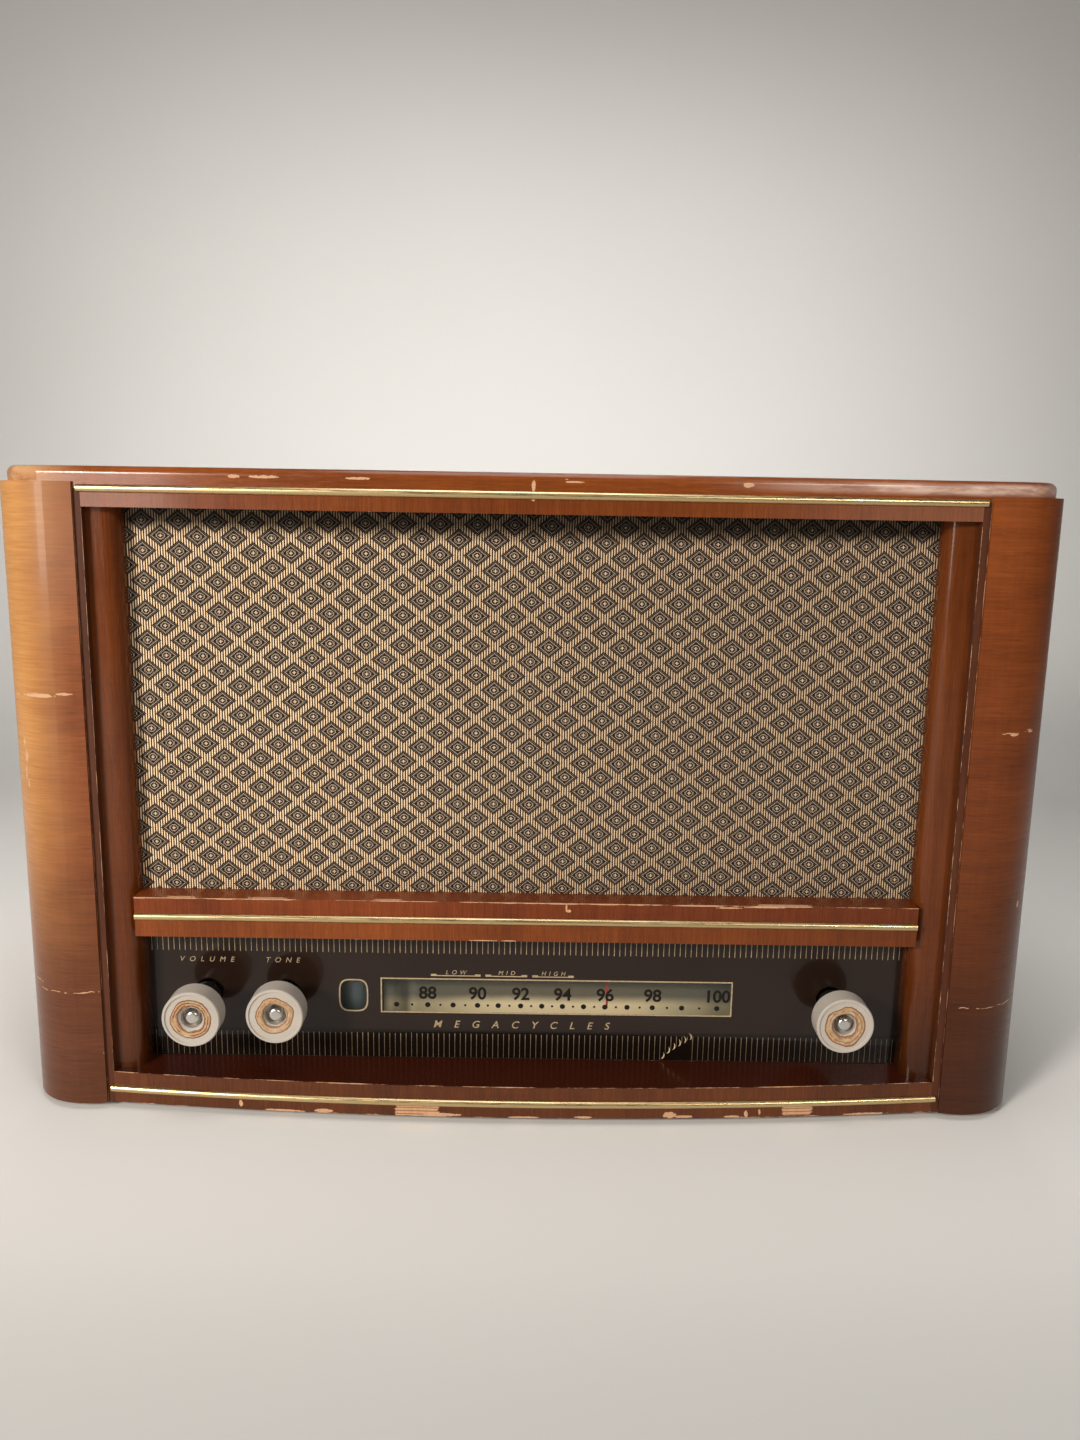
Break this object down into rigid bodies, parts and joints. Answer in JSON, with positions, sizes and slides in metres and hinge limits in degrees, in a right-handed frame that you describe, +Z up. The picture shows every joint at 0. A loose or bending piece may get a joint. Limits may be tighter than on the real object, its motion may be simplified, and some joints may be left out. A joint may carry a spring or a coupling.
{
  "type": "table radio",
  "caption": "Rectangular wooden table radio with rounded side pillars, a patterned cloth grille over a glass tuning scale, brass trim strips and turning knobs.",
  "frame": {"origin": "on the surface the feet stand on, under the middle of the overall box", "axes": "+X to the listener's right along the width, +Y from the front towards the rear cover, +Z up"},
  "size_m": [0.445, 0.2116, 0.2801],
  "materials": {
    "veneer": "stained veneer under a worn satin lacquer",
    "lipping_wood": "dark stained solid wood, arris worn pale",
    "brass_trim": "polished, slightly tarnished",
    "board_wood": "bare plywood",
    "speaker_fabric": "woven lattice pattern with metallic thread",
    "fibreboard": "pressed brown fibreboard",
    "screw_steel": "zinc plated",
    "foot_rubber": "matt black",
    "dial_glass": "clear sheet glass, printed at the back",
    "valve_glass": "clear bulb over a grey anode",
    "chassis_steel": "zinc plated sheet",
    "frame_enamel": "dark grey hammered enamel",
    "magnet_iron": "bare, lightly lacquered",
    "cone_paper": "soft black paper",
    "can_aluminium": "drawn, satin",
    "bakelite": "brown moulding",
    "winding_paper": "varnished paper wrap",
    "knob_plastic": "aged ivory moulding",
    "spindle_steel": "turned, dulled",
    "control_case": "plated case",
    "backplate_paint": "pale green-cream enamel",
    "lamp_glass": "small clear bulb in a brass cap",
    "holder_brass": "stamped, dull",
    "pointer_red": "red enamel",
    "pulley_plastic": "turned nylon",
    "drum_alloy": "die cast, machined rim",
    "spring_steel": "wire",
    "cord_fabric": "braided cord",
    "vane_alloy": "thin rolled vanes"
  },
  "bodies": {
    "cabinet": {"top_board": "veneer", "bottom_board": "board_wood", "left_side_shell": "veneer", "right_side_shell": "veneer", "left_lipping": "lipping_wood", "right_lipping": "lipping_wood", "top_rail": "veneer", "plinth_rail": "veneer", "middle_rail": "veneer", "left_jamb": "veneer", "right_jamb": "veneer", "top_brass_strip": "brass_trim", "middle_brass_strip": "brass_trim", "bottom_brass_strip": "brass_trim", "baffle_board": "board_wood", "speaker_cloth": "speaker_fabric", "rear_cover": "fibreboard", "rear_cover_screws": "screw_steel", "feet": "foot_rubber", "speaker_frame": "frame_enamel", "speaker_magnet": "magnet_iron", "speaker_bolts": "screw_steel", "chassis": "chassis_steel", "chassis_bolts": "screw_steel", "valve_holders": "bakelite", "signal_valves": "valve_glass", "output_valve": "valve_glass", "rectifier_valve": "valve_glass", "mains_transformer": "winding_paper", "output_transformer": "winding_paper", "if_transformer_cans": "can_aluminium", "smoothing_capacitor": "can_aluminium", "aerial_socket_panel": "bakelite", "mains_grommet": "foot_rubber", "volume_control": "control_case", "tone_control": "control_case", "control_nuts": "holder_brass", "dial_glass": "dial_glass", "dial_backplate": "backplate_paint", "dial_lamps": "lamp_glass", "lamp_holders": "holder_brass", "tuning_eye": "valve_glass", "tuning_eye_bracket": "chassis_steel", "pulley_studs": "spindle_steel", "drive_cord": "cord_fabric", "gang_frame": "chassis_steel", "gang_stator": "vane_alloy"},
    "tuning_control": {"tuning_knob": "knob_plastic", "tuning_spindle": "spindle_steel"},
    "volume_control_shaft": {"volume_knob": "knob_plastic", "volume_spindle": "spindle_steel"},
    "tone_control_shaft": {"tone_knob": "knob_plastic", "tone_spindle": "spindle_steel"},
    "pointer_carriage": {"dial_pointer": "pointer_red"},
    "left_pulley": {"left_cord_pulley": "pulley_plastic"},
    "right_pulley": {"right_cord_pulley": "pulley_plastic"},
    "drum_and_rotor": {"tuning_drum": "drum_alloy", "drum_spring": "spring_steel", "gang_rotor": "vane_alloy"},
    "cone": {"speaker_cone": "cone_paper"}
  },
  "joints": [
    {"name": "tuning", "type": "hinge", "parent": "cabinet", "child": "tuning_control", "pos_m": [0.1382, -0.09425, 0.0487], "axis": [0, 1, 0], "range_deg": [-1490, 770]},
    {"name": "volume", "type": "hinge", "parent": "cabinet", "child": "volume_control_shaft", "pos_m": [-0.1433, -0.09425, 0.0487], "axis": [0, 1, 0], "range_deg": [-150, 150]},
    {"name": "tone", "type": "hinge", "parent": "cabinet", "child": "tone_control_shaft", "pos_m": [-0.1084, -0.09425, 0.0487], "axis": [0, 1, 0], "range_deg": [-150, 150]},
    {"name": "pointer", "type": "slide", "parent": "cabinet", "child": "pointer_carriage", "axis": [1, 0, 0], "range_m": [-0.097, 0.0502]},
    {"name": "left_pulley_spin", "type": "hinge", "parent": "cabinet", "child": "left_pulley", "pos_m": [-0.102, -0.04525, 0.06875], "axis": [0, 1, 0], "range_deg": [-518, 1002]},
    {"name": "right_pulley_spin", "type": "hinge", "parent": "cabinet", "child": "right_pulley", "pos_m": [0.1, -0.04525, 0.05765], "axis": [0, 1, 0], "range_deg": [-1002, 518]},
    {"name": "drum", "type": "hinge", "parent": "cabinet", "child": "drum_and_rotor", "pos_m": [0.1382, -0.04525, 0.1012], "axis": [0, 1, 0], "range_deg": [-63, 121.5]},
    {"name": "cone_travel", "type": "slide", "parent": "cabinet", "child": "cone", "axis": [0, 1, 0], "range_m": [-0.0015, 0.0015], "stiffness_N_per_m": 1500}
  ],
  "couplings": [
    {"joint": "pointer", "follows": "tuning", "m_per_rad": 0.003725},
    {"joint": "left_pulley_spin", "follows": "tuning", "ratio": -0.67117},
    {"joint": "right_pulley_spin", "follows": "tuning", "ratio": 0.67117},
    {"joint": "drum", "follows": "tuning", "ratio": -0.080978}
  ]
}
